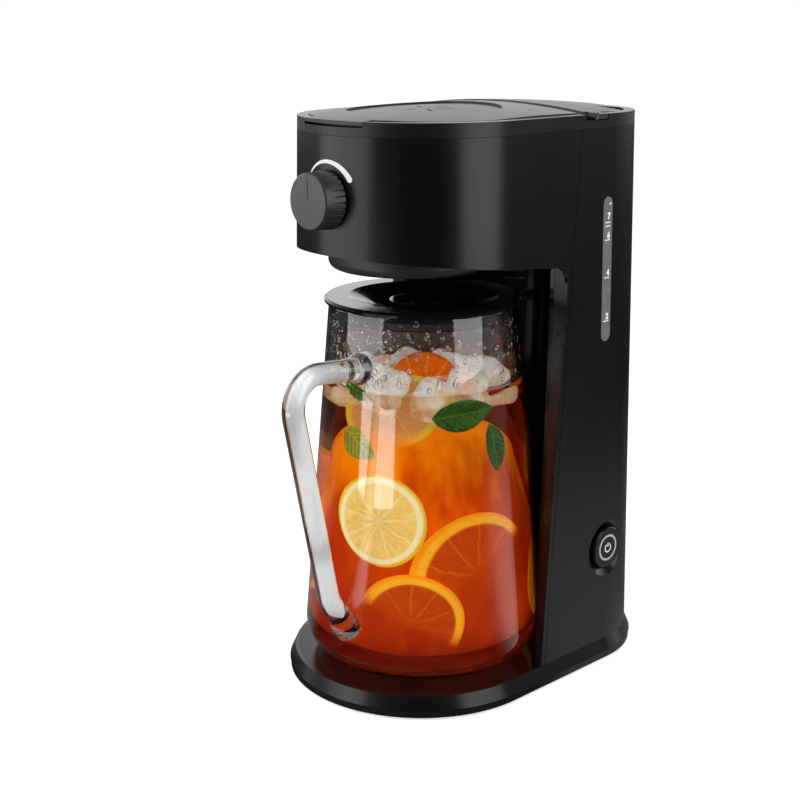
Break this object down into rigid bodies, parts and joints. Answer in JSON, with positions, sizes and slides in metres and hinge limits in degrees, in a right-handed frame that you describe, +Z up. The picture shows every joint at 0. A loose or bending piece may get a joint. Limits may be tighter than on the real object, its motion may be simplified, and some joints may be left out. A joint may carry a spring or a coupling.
{
  "type": "iced tea maker",
  "caption": "Slim electric iced tea maker: D-shaped tower with brewing head, hinged lids, dial and button, and a tall glass jug with rod handle standing under the head.",
  "frame": {"origin": "on the floor, under the middle of the overall box", "axes": "+Z up; -Y front, where the knob and the jug's handle are; +X the side with the level window and the power button"},
  "size_m": [0.18, 0.2922, 0.3808],
  "materials": {
    "satin_black": "satin",
    "textured_black": "fine sparked texture",
    "matte_black": "matte",
    "gloss_black": "gloss",
    "light_white": "lit white",
    "clear_smoke": "clear plastic",
    "dark_grey": "satin",
    "grey_plastic": "satin",
    "rubber": "matte",
    "silicone": "matte",
    "steel": "satin",
    "mesh": "fine mesh",
    "aluminium": "cast",
    "glass": "clear"
  },
  "bodies": {
    "housing": {"base_shell": "satin_black", "base_pan": "matte_black", "rubber_feet": "rubber", "base_screws": "steel", "deck_plate": "gloss_black", "front_housing": "satin_black", "column_cover": "gloss_black", "rear_housing": "satin_black", "level_window": "clear_smoke", "top_ring": "textured_black", "brew_hinge_pins": "steel", "tank_hinge_pins": "steel", "brew_chamber": "matte_black", "brew_basket": "dark_grey", "drip_valve_seal": "silicone", "drip_valve_spring": "steel", "spring_bridge": "grey_plastic", "filter_frame": "dark_grey", "filter_mesh": "mesh", "flow_valve": "grey_plastic", "button_bezel": "satin_black", "power_switch": "matte_black", "switch_cradle": "matte_black", "water_tank": "clear_smoke", "tank_shelf": "grey_plastic", "heater": "aluminium", "heater_bracket": "steel", "thermostat": "steel", "thermal_fuse": "grey_plastic", "check_valve": "grey_plastic", "cold_water_hose": "silicone", "hot_water_riser": "silicone", "hot_water_spout": "grey_plastic", "hose_clamps": "steel", "terminal_block": "grey_plastic", "cord_gland": "matte_black"},
    "brew_lid": {"brew_lid": "textured_black", "spray_tray": "grey_plastic"},
    "tank_lid": {"tank_lid": "textured_black"},
    "knob": {"strength_knob": "satin_black", "knob_shaft": "grey_plastic"},
    "button": {"power_button": "satin_black", "light_ring": "light_white"},
    "drip_valve": {"drip_valve": "grey_plastic"},
    "jug": {"glass_jug": "glass", "jug_handle": "glass"},
    "jug_lid": {"jug_lid": "gloss_black", "lid_seal": "silicone"}
  },
  "joints": [
    {"name": "brew_lid_hinge", "type": "hinge", "parent": "housing", "child": "brew_lid", "pos_m": [0, 0.04011, 0.3708], "axis": [-1, 0, 0], "range_deg": [0, 85]},
    {"name": "tank_lid_hinge", "type": "hinge", "parent": "housing", "child": "tank_lid", "pos_m": [0, 0.0601, 0.3734], "axis": [1, 0, 0], "range_deg": [0, 75]},
    {"name": "knob_turn", "type": "hinge", "parent": "housing", "child": "knob", "pos_m": [0, -0.11, 0.328], "axis": [0, -1, 0], "range_deg": [-55, 55]},
    {"name": "button_press", "type": "slide", "parent": "housing", "child": "button", "axis": [-1, 0, 0], "range_m": [0, 0.002], "stiffness_N_per_m": 400},
    {"name": "drip_valve_lift", "type": "slide", "parent": "housing", "child": "drip_valve", "axis": [0, 0, 1], "range_m": [0, 0.003], "stiffness_N_per_m": 120, "springref_m": -0.001, "deforming": ["drip_valve_spring"]},
    {"name": "jug_slide_out", "type": "slide", "parent": "housing", "child": "jug", "axis": [0, -1, 0], "range_m": [0, 0.28]},
    {"name": "jug_lid_turn", "type": "hinge", "parent": "jug", "child": "jug_lid", "pos_m": [0, -0.01589, 0.256], "axis": [0, 0, 1], "range_deg": [-90, 90]}
  ]
}
